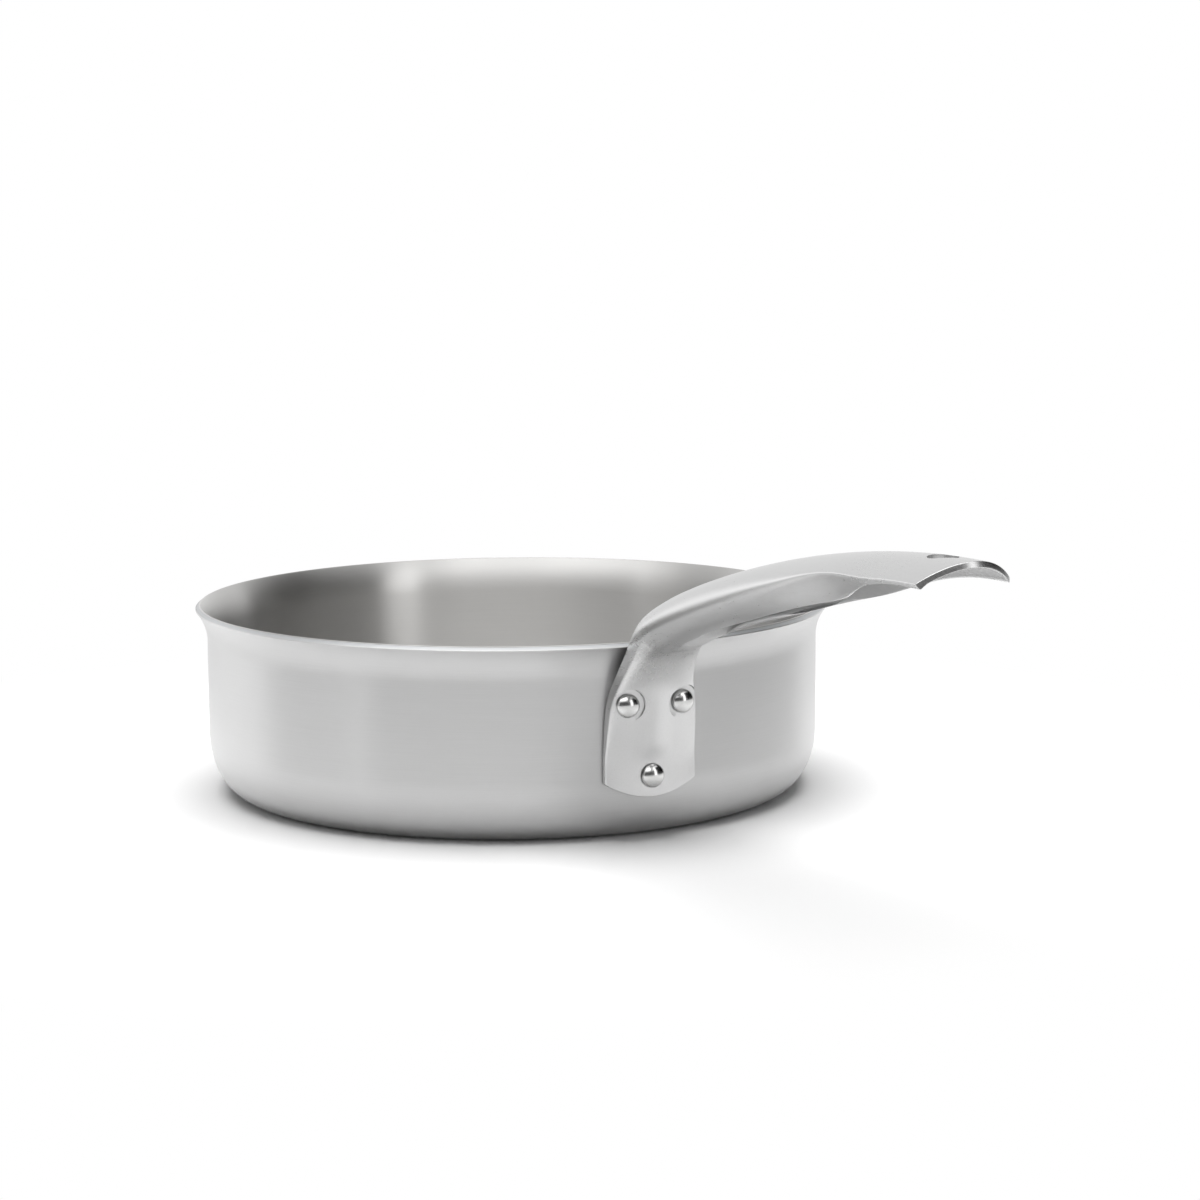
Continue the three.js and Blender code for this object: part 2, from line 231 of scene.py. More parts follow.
plate_back = wall_radius + CLEARANCE
plate_face = plate_back + PLATE_THICKNESS
heel = Vector((plate_back, PAN_HEIGHT - HEEL_DROP))
foot = heel - Vector((0, PLATE_LENGTH))
rim_pass = Vector((rim_radius + RIM_GAP, lip_centre.y + LIP_RADIUS * sin(LIP_ANGLE)))
neck = Vector((rim_radius + NECK_REACH, PAN_HEIGHT + NECK_RISE))
grip_end = Vector((rim_radius + HANDLE_REACH, PAN_HEIGHT + HANDLE_RISE))

# %% [markdown]
# The line runs along the middle of the upper face. One long curve can't keep straight on the wall and
# then turn so tightly, so four Bezier curves are joined. They lie in the plane of radius and height and
# meet with the same direction, so the top of the handle has no kink.

# %% The line along the handle
UPRIGHT = pi / 2
PASS_SLOPE = UPRIGHT - radians(22)
NECK_SLOPE = radians(23)
END_SLOPE = radians(-0.4)


def swept(start, start_angle, start_pull, end, end_angle, end_pull):
    """Control points of a curve that leaves and arrives at given angles, each kept for part of the way."""
    distance = (end - start).length
    leave = Vector((cos(start_angle), sin(start_angle))) * start_pull * distance
    arrive = Vector((cos(end_angle), sin(end_angle))) * end_pull * distance
    return start, start + leave, end - arrive, end


upper_line = [
    swept(foot, UPRIGHT, 1 / 3, heel, UPRIGHT, 1 / 3),
    swept(heel, UPRIGHT, 0.35, rim_pass, PASS_SLOPE, 0.35),
    swept(rim_pass, PASS_SLOPE, 0.48, neck, NECK_SLOPE, 0.48),
    swept(neck, NECK_SLOPE, 0.07, grip_end, END_SLOPE, 0.45),
]
print("curves in the line:", len(upper_line))

# %% [markdown]
# A place on the line is a number u: 0 to 1 up the plate, to 2 past the rim, to 3 round the bend and to 4
# along the shaft.


# %% Places on the line
def on_line(u):
    """The place on the line at u and the direction of the line there."""
    span = min(int(u), len(upper_line) - 1)
    t = u - span
    a, b, c, d = upper_line[span]
    place = a * (1 - t) ** 3 + b * 3 * t * (1 - t) ** 2 + c * 3 * t * t * (1 - t) + d * t**3
    along = (b - a) * (1 - t) ** 2 + (c - b) * 2 * t * (1 - t) + (d - c) * t * t
    return place, along.normalized()


for u in range(5):
    print("u", u, "radius and height in mm:", [round(x / MM, 1) for x in on_line(u)[0]])

# %% [markdown]
# The section changes all the way: flat and square on the wall, almost round in the shaft, a thin arch
# with a ridge along each side at the end. A table of stations holds its sizes. It lists few stations,
# because a curve through few values stays fair where one through many would ripple.

# %% Stations along the line
SLOT_WRAP = radians(66)
ARCH_BELLY = 12 * MM
ELLIPSE = 2


def even(u, width, depth, upper, lower):
    """A station as deep above its widest level as below it."""
    return u, width * MM, depth * MM / 2, depth * MM / 2, upper, lower, SLOT_WRAP, 0


def arch(u, width, crown, wrap, ridge):
    """A station of the part that opens into an arch."""
    return u, width * MM, crown * MM, ARCH_BELLY, ELLIPSE, ELLIPSE, radians(wrap), ridge


# u, width, crown above the widest level, belly below it, squareness of the upper and the lower half,
# how far the sides wrap round underneath, how sharp the side ridges are
STATIONS = [
    even(0, 37, 3, 9, 9),
    even(0.4, 37, 3, 9, 9),
    even(1, 35, 6.6, 9, 5),
    even(1.5, 30, 9, 6, 4),
    even(2, 26.6, 12.8, 4, 3),
    even(2.25, 25.9, 16.3, 3.2, 2.7),
    even(2.5, 25.4, 17.3, 2.6, 2.5),
    even(3, 25, 18.6, 2.2, 2.3),
    even(3.33, 25, 18.6, 2.1, 2.2),
    arch(3.57, 26.4, 7.8, 56, 0.35),
    arch(3.74, 28, 5.9, 56, 0.9),
    arch(3.85, 30.8, 7.2, 27, 1),
    arch(3.92, 32.2, 7.05, 20, 1),
    arch(4, 33.6, 6.9, 20, 1),
]
print("stations:", len(STATIONS))

# %% [markdown]
# Each column of the table is carried from station to station by a cubic whose slope at a station is the
# mean of the slopes on both sides. Straight lines would show as a crease at every station.


# %% Between the stations
def slope_at(station, column):
    slopes = []
    for i in (station - 1, station):
        if 0 <= i < len(STATIONS) - 1:
            rise = STATIONS[i + 1][column] - STATIONS[i][column]
            slopes.append(rise / (STATIONS[i + 1][0] - STATIONS[i][0]))
    return sum(slopes) / len(slopes)


def columns_at(u):
    """Every column of the table at u, on a cubic between the two stations around it."""
    i = max(k for k in range(len(STATIONS) - 1) if STATIONS[k][0] <= u)
    gap = STATIONS[i + 1][0] - STATIONS[i][0]
    t = (u - STATIONS[i][0]) / gap
    values = []
    for column in range(1, len(STATIONS[0])):
        start, end = STATIONS[i][column], STATIONS[i + 1][column]
        value = (1 + 2 * t) * (1 - t) ** 2 * start + t * t * (3 - 2 * t) * end
        value += gap * (t * (1 - t) ** 2 * slope_at(i, column) - t * t * (1 - t) * slope_at(i + 1, column))
        values.append(value)
    return values


print("width in mm half way along the shaft:", round(columns_at(3.5)[0] / MM, 1))

# %% [markdown]
# Features come and go along the line on soft ramps: the rounded foot of the plate, its spine, the hollow
# under the shaft and the curved end. Keeping each as a pair of places on the line makes it easy to move.


# %% Soft ramps
def ramp(x, begin, complete):
    t = min(max((x - begin) / (complete - begin), 0), 1)
    return t * t * (3 - 2 * t)


def mix(a, b, share):
    return a + (b - a) * share


print("a ramp a quarter and half of the way along:", ramp(0.25, 0, 1), ramp(0.5, 0, 1))

# %% What a section knows of its features
FOOT_BOW = (0, 0.7)
SPINE_TIP = (0.35, 0.6)
SPINE_FADE = (1, 1.5)
OFF_THE_WALL = (1, 2)
SLOT_HEAD = (3.18, 3.32)
LIP_FADE = (3.4, 3.72)
END_BOW = (3.74, 4)


class Section:
    """The section at u: its sizes, and how far each feature has come there."""

    def __init__(self, u):
        width, self.crown, self.belly, self.upper, self.lower, self.wrap, ridge = columns_at(u)
        self.half_width = width / 2
        self.ridge = min(ridge, 1)
        self.follow = 1 - ramp(u, *OFF_THE_WALL)
        self.spine = SPINE_HEIGHT * (ramp(u, *SPINE_TIP) - ramp(u, *SPINE_FADE))
        self.hollow = ramp(u, *SLOT_HEAD)
        self.bow = END_ARC * ramp(u, *END_BOW) - FOOT_ARC * (1 - ramp(u, *FOOT_BOW))
        self.lean = tan(END_LEAN) * ramp(u, *END_BOW)
        self.inside_wrap = self.wrap * (1 - ramp(u, *LIP_FADE))
        self.drafted = ramp(u, *LIP_FADE) * (1 - ramp(u, *END_BOW))


print("depth of the shaft in mm:", round((Section(3.2).crown + Section(3.2).belly) / MM, 1))

# %% [markdown]
# A section is an ellipse that can be made squarer, and towards the grip it becomes two arcs that meet in
# a ridge at each side. A cast ridge is a little blunt, and a bright line runs along it. So the arcs
# are rounded where they meet, which costs nothing here and would be a narrow bevel on the mesh.

# %% The outside of a section
RIDGE_CURVE = 2.1
RIDGE_ROUND = 0.02
RIDGE_SLANT = 0.25


def outside_point(section, around, inset):
    """A point at an angle around the section, 0 at one side, on an outline that is set in all round."""
    across, up = cos(around), sin(around)
    square, height = (section.upper, section.crown) if up > 0 else (section.lower, section.belly)
    swell = (abs(across) ** square + abs(up) ** square) ** (-1 / square)
    ridged = (1 - abs(across) ** RIDGE_CURVE) * (1 if up > 0 else -1)
    back = sqrt((1 - abs(across)) ** 2 + RIDGE_ROUND**2) - RIDGE_ROUND
    rounded = (1 - back / (sqrt(1 + RIDGE_ROUND**2) - RIDGE_ROUND)) * (1 if across > 0 else -1)
    half_width = section.half_width - inset * (1 + section.ridge * RIDGE_SLANT)
    level = (height - inset) * mix(swell * up, ridged, section.ridge) - section.crown
    return Vector((half_width * mix(swell * across, rounded, section.ridge), level))


print("half width at the end of the grip in mm:", round(outside_point(Section(4), 0, 0).x / MM, 1))

# %% [markdown]
# Under the shaft the casting is hollow, with lips turned in along the opening. Towards the grip the lips
# end, and the hollow gets the draft that lets a pattern out of its mould: it is widest at its mouth.
# An inner copy of the outside would be simpler, but traps the light and turns black there.

# %% The hollow under the shaft
DRAFT = 0.5


def hollow_point(section, along, inset):
    """A point of the hollow, from one edge of its mouth to the other, on an outline that is set in."""
    wall = SHELL - inset
    inside = outside_point(section, mix(pi + section.inside_wrap, -section.inside_wrap, along), wall)
    mouth = outside_point(section, -section.wrap, 0)
    around = mix(pi, 0, along)
    wide = mouth.x - wall * DRAFT
    level = mix(mouth.y, -wall, 1 - abs(cos(around)) ** RIDGE_CURVE)
    return inside.lerp(Vector((wide * cos(around), level)), section.drafted)


print("roof of the hollow below the top, in mm:", round(-hollow_point(Section(3.5), 0.5, 0).y / MM, 1))

# %% [markdown]
# A cast edge is never knife-sharp. Where the hollow opens, the outline has four corners, and each is
# replaced by a short curve. The bright line along the edge of a real handle is the light in that curve.

# %% Ease the corners of an outline
EDGE_ROUND = 0.7 * MM
EDGE_SHARE = 0.45
EDGE_STEPS = 4
TINY = 1e-9


def eased(outline, corners):
    """The outline with a short curve in place of each of the named corners."""
    smooth = []
    for i, point in enumerate(outline):
        if i not in corners:
            smooth.append(point)
            continue
        sides = []
        for beside in (outline[i - 1], outline[(i + 1) % len(outline)]):
            way = beside - point
            sides.append(point + way * min(EDGE_ROUND / max(way.length, TINY), EDGE_SHARE))
        for t in steps(EDGE_STEPS):
            smooth.append(sides[0] * (1 - t) ** 2 + point * 2 * t * (1 - t) + sides[1] * t * t)
    return smooth


square_test = [Vector(corner) for corner in ((0, 0), (1, 0), (1, 1), (0, 1))]
print("a square with one corner eased has", len(eased(square_test, (0,))), "points")

# %% [markdown]
# The whole outline goes once round: over the outside, then back along the underside, which is the belly
# where the handle is solid and the hollow where it is not. On the wall the outline is bent to the pan,
# and the plate gets its soft spine, which stiffens it against the weight of a full pan.

# %% The outline of a section
OUTSIDE_POINTS = 73
UNDERSIDE_POINTS = 37


def outline_of(section, inset=0):
    """The closed outline as (sideways, upwards) points, set in all round."""
    wrap = section.wrap
    outline = [outside_point(section, mix(-wrap, pi + wrap, t), inset) for t in steps(OUTSIDE_POINTS - 1)]
    for i in range(UNDERSIDE_POINTS):
        below = mix(pi + wrap, 2 * pi - wrap, (i + 1) / (UNDERSIDE_POINTS + 1))
        hollow = hollow_point(section, i / (UNDERSIDE_POINTS - 1), inset)
        outline.append(outside_point(section, below, inset).lerp(hollow, section.hollow))
    last = len(outline) - 1
    outline = eased(outline, (0, OUTSIDE_POINTS - 1, OUTSIDE_POINTS, last))
    for point in outline:
        if point.y < -section.crown:
            point.y -= section.spine * (1 - ramp(abs(point.x), 0, SPINE_FLANK))
        point.y += section.follow * (plate_back - sqrt(plate_back**2 - point.x**2))
    return outline


print("points round one section:", len(outline_of(Section(3.5))))

# %% [markdown]
# Each outline is set square to the line, and its middle is pushed ahead of its corners where the foot
# and the end are curved. The first and last few outlines shrink a little, which rounds the edges of both
# end faces as a file would.

# %% Set the outlines along the line
END_ROUND = 0.25 * MM
END_STEPS = 5
SPAN_STOPS = (36, 36, 44, 170)


def ring_at(u, inset=0):
    section = Section(u)
    place, along = on_line(u)
    ring = []
    for point in outline_of(section, inset):
        across = min(max(point.x / section.half_width, -1), 1)
        ahead = -section.bow * across**2 - section.lean * point.y
        radius = place.x + along.x * ahead - along.y * point.y
        height = place.y + along.y * ahead + along.x * point.y
        ring.append(Vector((radius, point.x, height)))
    return ring


end_speed = (upper_line[-1][3] - upper_line[-1][2]).length * 3
rings = [ring_at(back / PLATE_LENGTH, inset) for back, inset in rounding(END_ROUND, END_STEPS)]
for span, stops in enumerate(SPAN_STOPS):
    rings += [ring_at(span + i / stops) for i in range(stops) if span + i > 0]
for back, inset in reversed(rounding(END_ROUND, END_STEPS)):
    rings.append(ring_at(len(SPAN_STOPS) - back / end_speed, inset))
print("outlines along the handle:", len(rings))

# %% [markdown]
# The tight bend past the rim crowds the outlines on its inner side, and small unevenness there shows in
# polished metal. Moving each outline to the mean of itself and its neighbours, many times, does what
# rubbing down the pattern does. A Smooth modifier would soften the edges of the section as well.

# %% Soften the bend
SOFTENING = 30

first_soft = END_STEPS + SPAN_STOPS[0]
last_soft = END_STEPS + sum(SPAN_STOPS[:3])
crisp_bend = [ring[:] for ring in rings[first_soft:last_soft]]
for _ in range(SOFTENING):
    before = [ring[:] for ring in rings]
    for i in range(first_soft, last_soft):
        beside = zip(before[i - 1], before[i], before[i + 1])
        rings[i] = [(a + b * 2 + c) / 4 for a, b, c in beside]
moves = [(a - b).length for old, new in zip(crisp_bend, rings[first_soft:]) for a, b in zip(old, new)]
print("largest move of the softening in mm:", round(max(moves) / MM, 2))

# %% [markdown]
# The end faces are curved too, so one large polygon across each of them would be shaded as if it were
# flat. A strip of triangles between the upper and the lower side follows the curve, and the end of the
# grip then shines where a real one does.

# %% Close the ends
UPPER_SIDE = OUTSIDE_POINTS + 2 * EDGE_STEPS


def way_along(chain):
    """How far along the chain each of its vertices lies, from 0 to 1, and a last value past the end."""
    lengths = [0]
    for first, second in zip(chain, chain[1:]):
        lengths.append(lengths[-1] + (second.co - first.co).length)
    return [length / lengths[-1] for length in lengths] + [2]


def end_face(shape, ring):
    """Close an end with a strip between its upper and its lower side."""
    upper = ring[:UPPER_SIDE]
    lower = ring[: UPPER_SIDE - 1 : -1]
    upper_way = way_along(upper)
    lower_way = way_along(lower)
    i = k = 0
    while i + 1 < len(upper) or k + 1 < len(lower):
        if upper_way[i + 1] <= lower_way[k + 1]:
            shape.faces.new((upper[i], upper[i + 1], lower[k]))
            i += 1
        else:
            shape.faces.new((upper[i], lower[k + 1], lower[k]))
            k += 1


print("points on the upper and the lower side:", UPPER_SIDE, len(rings[0]) - UPPER_SIDE)

# %% [markdown]
# Nobody grinds the inside of the hollow, so it keeps the dull skin of the casting. The vertices there are
# marked while the mesh is made, and the finish reads the mark later. A second material would do as
# well, but its border would be hard.

# %% Skin the outlines
HOLLOW_SIDE = slice(OUTSIDE_POINTS + 3 * EDGE_STEPS, None)


def skin_between(shape, rings):
    """Join each closed ring of vertices to the next with four-sided faces."""
    for first, second in zip(rings, rings[1:]):
        for i in range(len(first)):
            shape.faces.new((first[i - 1], first[i], second[i], second[i - 1]))


shape = bmesh.new()
cast_skin = shape.verts.layers.float.new("cast_skin")
grid = [[shape.verts.new(point) for point in ring] for ring in rings]
for ring in grid[last_soft : -END_STEPS - 1]:
    for vertex in ring[HOLLOW_SIDE]:
        vertex[cast_skin] = 1
skin_between(shape, grid)
end_face(shape, grid[0])
end_face(shape, grid[-1])
handle = finish_mesh("cast_handle", shape)
print("handle faces:", len(handle.data.polygons))

# %% [markdown]
# ## Rivets and holes
# Three steel rivets hold the handle. Rivets and their tools are turned about an upright axis first and
# then laid to point out of the wall, because a turned shape is simplest along Z.

# %% Where the rivets are
UPPER_RIVET_DROP = 23.2 * MM
UPPER_RIVET_SPACING = 22.4 * MM
UPPER_SEAT_RISE = 2.7 * MM
LOWER_RIVET_RISE = 8 * MM

upper_seat = plate_face + UPPER_SEAT_RISE
upper_turn = asin(UPPER_RIVET_SPACING / 2 / upper_seat)
upper_height = PAN_HEIGHT - UPPER_RIVET_DROP
RIVETS = {
    "rivet_upper_left": (-upper_turn, upper_height, upper_seat),
    "rivet_upper_right": (upper_turn, upper_height, upper_seat),
    "rivet_lower": (0, foot.y + LOWER_RIVET_RISE, plate_face),
}


def out_of_wall(piece, turn, height):
    """Turns a shape made along +Z to point out of the pan, square to the wall."""
    outwards = Matrix.Rotation(turn, 4, "Z") @ Matrix.Rotation(pi / 2, 4, "Y")
    piece.data.transform(Matrix.Translation((0, 0, height)) @ outwards)
    return piece


print("upper rivets at", round(degrees(upper_turn), 2), "degrees from the handle's plane")

# %% [markdown]
# The two upper rivets stand in round seats cut into the heel, so that their heads have a flat face to
# close on. A milling cutter makes such a seat, and here a turned shape with a rounded end is the cutter.

# %% Cutters for the seats
SEAT_DIAMETER = 13 * MM
SEAT_ROUND = 0.4 * MM
SEAT_STEPS = 6
CUTTER_ROUND = 96


def seat_cutter(turn, height, seat):
    radius = SEAT_DIAMETER / 2
    profile = [(0, seat)]
    profile += [(radius - inwards, seat + rise) for rise, inwards in rounding(SEAT_ROUND, SEAT_STEPS)]
    profile += [(radius, seat + PLATE_WIDTH), (0, seat + PLATE_WIDTH)]
    return out_of_wall(turned("seat cutter", profile, CUTTER_ROUND), turn, height)


cutters = [seat_cutter(*RIVETS[name]) for name in ("rivet_upper_left", "rivet_upper_right")]
print("seat cutters:", len(cutters))

# %% [markdown]
# The hang hole is a teardrop: a round end for the hook and a tip in which the hook comes to rest. Two
# straight sides touch the circle, so the angle at which they leave it follows from its radius and the tip.

# %% The outline of the hang hole
HOLE_WIDTH = 10 * MM
HOLE_LENGTH = 13 * MM
HOLE_MARGIN = 9.7 * MM
HOLE_STEPS = 48


def teardrop(grow, height):
    """A ring of points round the hang hole, its tip towards the end of the grip."""
    radius = HOLE_WIDTH / 2
    tip = grip_end.x - HOLE_MARGIN
    centre = tip - HOLE_LENGTH + radius
    lean = acos(radius / (tip - centre))
    larger = 1 + grow / radius
    points = [(centre + (tip - centre) * larger, 0, height)]
    for t in steps(HOLE_STEPS):
        turn = mix(lean, 2 * pi - lean, t)
        points.append((centre + radius * larger * cos(turn), radius * larger * sin(turn), height))
    return points


print("tip of the hang hole at x in mm:", round(teardrop(0, 0)[0][0] / MM, 1))

# %% [markdown]
# The mouth of the hole is eased, so that a hook doesn't scrape it. The cutter gets that flare itself,
# which is surer than a bevel on an edge that only exists after the cut.

# %% A cutter for the hang hole
HOLE_FLARE = 0.5 * MM
GRIP_DEPTH = 15 * MM


def hole_cutter():
    shape = bmesh.new()
    top = grip_end.y
    levels = [(0, top - GRIP_DEPTH), (0, top - HOLE_FLARE), (HOLE_FLARE, top), (HOLE_FLARE, top + GRIP_DEPTH)]
    rings = [[shape.verts.new(point) for point in teardrop(grow, height)] for grow, height in levels]
    skin_between(shape, rings)
    shape.faces.new(rings[0])
    shape.faces.new(reversed(rings[-1]))
    return finish_mesh("hole cutter", shape)


cutters.append(hole_cutter())
print("cutters:", [cutter.name for cutter in cutters])

# %% [markdown]
# A Boolean modifier takes each cutter out of the handle, as the mill would. The result is then kept as the
# handle's own mesh, so that the cutters can go. The handle may not cross itself anywhere, or the
# modifier takes the wrong side for the inside.

# %% Cut the seats and the hang hole
for cutter in cutters:
    cut = handle.modifiers.new(cutter.name, "BOOLEAN")
    cut.operation = "DIFFERENCE"
    cut.object = cutter
whole = handle.evaluated_get(bpy.context.evaluated_depsgraph_get())
handle.data = bpy.data.meshes.new_from_object(whole)
handle.modifiers.clear()
for cutter in cutters:
    bpy.data.objects.remove(cutter)
handle.data.set_sharp_from_angle(angle=SHARP)
print("handle faces after cutting:", len(handle.data.polygons))

# %% [markdown]
# A rivet starts as a pin with one head, and its other end is hammered or pressed into the second. It is
# turned like the body: a low head inside the pan, a shank through the sheet and the plate, and a domed
# head outside. The lower rivet sits where the wall begins to curve in, so its inner head follows the wall.

# %% How far in the wall is
SHANK_DIAMETER = 5.5 * MM
HEAD_DIAMETER = 9 * MM
HEAD_HEIGHT = 2.8 * MM
INNER_HEAD_DIAMETER = 12 * MM
INNER_HEAD_HEIGHT = 1.8 * MM


def inside_radius(height):
    """The radius of the inside of the wall, which is less in the rounded corner than above it."""
    down = max(CORNER_HEIGHT - height, 0) / (CORNER_HEIGHT - sheet)
    return INSIDE_DIAMETER / 2 - (CORNER_REACH - sheet) * (1 - sqrt(1 - down**2))


print("inside radius behind the lower rivet in mm:", round(inside_radius(RIVETS["rivet_lower"][1]) / MM, 2))

# %% Turn the rivets
RIVET_ROUND = 64
DOME_STEPS = 16


def rivet(name, turn, height, seat):
    low_head = INNER_HEAD_DIAMETER / 2
    inner_seat = sqrt(inside_radius(height - low_head) ** 2 - low_head**2) - CLEARANCE
    outer_seat = seat + CLEARANCE
    quarter = [step * pi / 2 for step in steps(DOME_STEPS)]
    profile = [(low_head * sin(t), inner_seat - INNER_HEAD_HEIGHT * cos(t)) for t in quarter]
    profile += [(SHANK_DIAMETER / 2, inner_seat), (SHANK_DIAMETER / 2, outer_seat)]
    profile += [(HEAD_DIAMETER / 2 * cos(t), outer_seat + HEAD_HEIGHT * sin(t)) for t in quarter[:-1]]
    profile.append((0, outer_seat + HEAD_HEIGHT))
    return out_of_wall(turned(name, profile, RIVET_ROUND), turn, height)


rivets = {node: rivet("domed_" + node, *place) for node, place in RIVETS.items()}
for node, piece in rivets.items():
    print(piece.name, "faces:", len(piece.data.polygons))

# %% [markdown]
# ## Finishes
# All the steel is the same metal with another finish, and a finish is mostly its fine scratches. An image
# of scratches would show its pixels up close, so they come from noise, stretched along the scratches. One
# helper sets a node's inputs by name, which keeps the recipes short.


# %% A helper for nodes
def add(tree, kind, **settings):
    """A node with its properties and input values set; a socket given as a value is linked."""
    node = tree.nodes.new(kind)
    for name, value in settings.items():
        socket = node.inputs.get(name) or node.inputs.get(name.replace("_", " "))
        if isinstance(value, bpy.types.NodeSocket):
            tree.links.new(value, socket)
        elif socket is not None:
            socket.default_value = value
        else:
            setattr(node, name, value)
    return node


def new_metal(name):
    material = bpy.data.materials.new(name)
    material.use_nodes = True
    shader = material.node_tree.nodes["Principled BSDF"]
    shader.inputs["Metallic"].default_value = 1
    return material, material.node_tree, shader


print("materials of the CAD model:", len(bpy.data.materials))

# %% [markdown]
# Fine noise gives the scratches and a broad cloud the wear of use. Together they drive the roughness, and
# the scratches alone a faint bump. The same noise drifts the colour a little, as no sheet of steel is of one
# grey all over.

# %% Scratches and a drift of colour
CLOUD_SCALE = 18
CLOUD_SHARE = 0.35
NOISE_LOW = 0.3
NOISE_HIGH = 0.7


def scratch(tree, shader, vector, low, high, depth):
    """Scratches from a noise in a stretched space: roughness between low and high, and a bump."""
    fine = add(tree, "ShaderNodeTexNoise", Vector=vector, Scale=1, Detail=3, Roughness=0.6).outputs["Fac"]
    place = add(tree, "ShaderNodeTexCoord").outputs["Object"]
    cloud = add(tree, "ShaderNodeTexNoise", Vector=place, Scale=CLOUD_SCALE, Detail=2).outputs["Fac"]
    both = add(tree, "ShaderNodeMix", Factor=CLOUD_SHARE, A=fine, B=cloud).outputs["Result"]
    rough = add(tree, "ShaderNodeMapRange", Value=both, From_Min=NOISE_LOW, From_Max=NOISE_HIGH)
    rough.inputs["To Min"].default_value = low
    rough.inputs["To Max"].default_value = high
    tree.links.new(rough.outputs["Result"], shader.inputs["Roughness"])
    bump = add(tree, "ShaderNodeBump", Height=fine, Strength=0.4, Distance=depth)
    tree.links.new(bump.outputs["Normal"], shader.inputs["Normal"])
    return both


def tint(tree, shader, share, darker, lighter):
    """A slight drift of the metal's colour."""
    drift = add(tree, "ShaderNodeValToRGB", Fac=share)
    for stop, position, colour in zip(drift.color_ramp.elements, (NOISE_LOW, NOISE_HIGH), (darker, lighter)):
        stop.position = position
        stop.color = (*colour, 1)
    tree.links.new(drift.outputs["Color"], shader.inputs["Base Color"])


print("share of the cloud in the roughness:", CLOUD_SHARE)

# %% [markdown]
# The bowl is brushed on a lathe, so its scratches run round it. Noise has no notion of round, so it gets
# a space of its own: slow along the circle, fast over the profile, where the profile is measured by
# radius plus height.


# %% A space that runs round the pan
def stretched(tree, vector, scale):
    return add(tree, "ShaderNodeMapping", Vector=vector, Scale=scale).outputs["Vector"]


def around_pan(tree, along, across):
    """Coordinates that grow by one scale round the pan and by another over its profile."""
    parts = add(tree, "ShaderNodeSeparateXYZ", Vector=add(tree, "ShaderNodeTexCoord").outputs["Object"])
    flat = add(tree, "ShaderNodeCombineXYZ", X=parts.outputs["X"], Y=parts.outputs["Y"])
    radius = add(tree, "ShaderNodeVectorMath", operation="LENGTH", Vector=flat.outputs["Vector"])
    path = add(tree, "ShaderNodeMath", operation="ADD", Value=radius.outputs["Value"])
    tree.links.new(parts.outputs["Z"], path.inputs[1])
    space = add(tree, "ShaderNodeCombineXYZ", X=parts.outputs["X"], Y=parts.outputs["Y"])
    tree.links.new(path.outputs["Value"], space.inputs["Z"])
    return stretched(tree, space.outputs["Vector"], (along, along, across))


print("the brushing runs over", round((wall_radius + PAN_HEIGHT) / MM), "mm of profile")

# %% [markdown]
# A brushed face spreads a highlight across its scratches. Modelling every scratch is hopeless, and a
# rougher shader would spread it in all directions, so the shader is made anisotropic, with its tangent
# turned to run round the axis. The body's three layers share this recipe.

# %% Brushed on a lathe
BRUSH_ALONG = 40
BRUSH_ACROSS = 4000
BRUSH_DEPTH = 0.01 * MM
QUARTER_TURN = 0.25


def lathe_brushed(name, darker, lighter, low, high, stretch):
    """Metal between two colours and two roughnesses, its highlights stretched across the brushing."""
    material, tree, shader = new_metal(name)
    share = scratch(tree, shader, around_pan(tree, BRUSH_ALONG, BRUSH_ACROSS), low, high, BRUSH_DEPTH)
    tint(tree, shader, share, darker, lighter)
    tangent = add(tree, "ShaderNodeTangent", direction_type="RADIAL", axis="Z")
    tree.links.new(tangent.outputs["Tangent"], shader.inputs["Tangent"])
    shader.inputs["Anisotropic"].default_value = stretch
    shader.inputs["Anisotropic Rotation"].default_value = QUARTER_TURN
    return material


skin_steel = lathe_brushed("brushed steel outside", (0.57, 0.57, 0.57), (0.61, 0.61, 0.61), 0.32, 0.38, 0.85)
liner_steel = lathe_brushed("brushed steel inside", (0.57, 0.565, 0.555), (0.6, 0.595, 0.585), 0.33, 0.37, 1)
core_aluminium = lathe_brushed("turned aluminium", (0.5, 0.51, 0.52), (0.56, 0.57, 0.58), 0.4, 0.5, 0.6)
print("brushed:", [material.name for material in (skin_steel, liner_steel, core_aluminium)])

# %% [markdown]
# The handle is ground on a belt along its length and then polished nearly smooth. Its grain is noise drawn
# out along X, and where the vertices of the hollow are marked the shader goes over to the rough cast skin.

# %% Ground on a belt
GRIND_SCALE = (300, 1500, 1500)
GRIND_DEPTH = 0.002 * MM
CAST_ROUGHNESS = 0.9


def belt_ground(name, darker, lighter, low, high):
    material, tree, shader = new_metal(name)
    grain = stretched(tree, add(tree, "ShaderNodeTexCoord").outputs["Object"], GRIND_SCALE)
    share = scratch(tree, shader, grain, low, high, GRIND_DEPTH)
    tint(tree, shader, share, darker, lighter)
    ground = shader.inputs["Roughness"].links[0].from_socket
    skin = add(tree, "ShaderNodeAttribute", attribute_name="cast_skin").outputs["Fac"]
    both = add(tree, "ShaderNodeMix", Factor=skin, A=ground, B=CAST_ROUGHNESS).outputs["Result"]
    tree.links.new(both, shader.inputs["Roughness"])
    return material


handle_steel = belt_ground("ground steel", (0.56, 0.56, 0.56), (0.6, 0.6, 0.6), 0.26, 0.33)
print("ground:", handle_steel.name)

# %% [markdown]
# The rivet heads are shaped by a polished die and come out the brightest. Their marks have no direction,
# so this noise is not stretched.

# %% Polished by the die
POLISH_SCALE = (900, 900, 900)
POLISH_DEPTH = 0.004 * MM


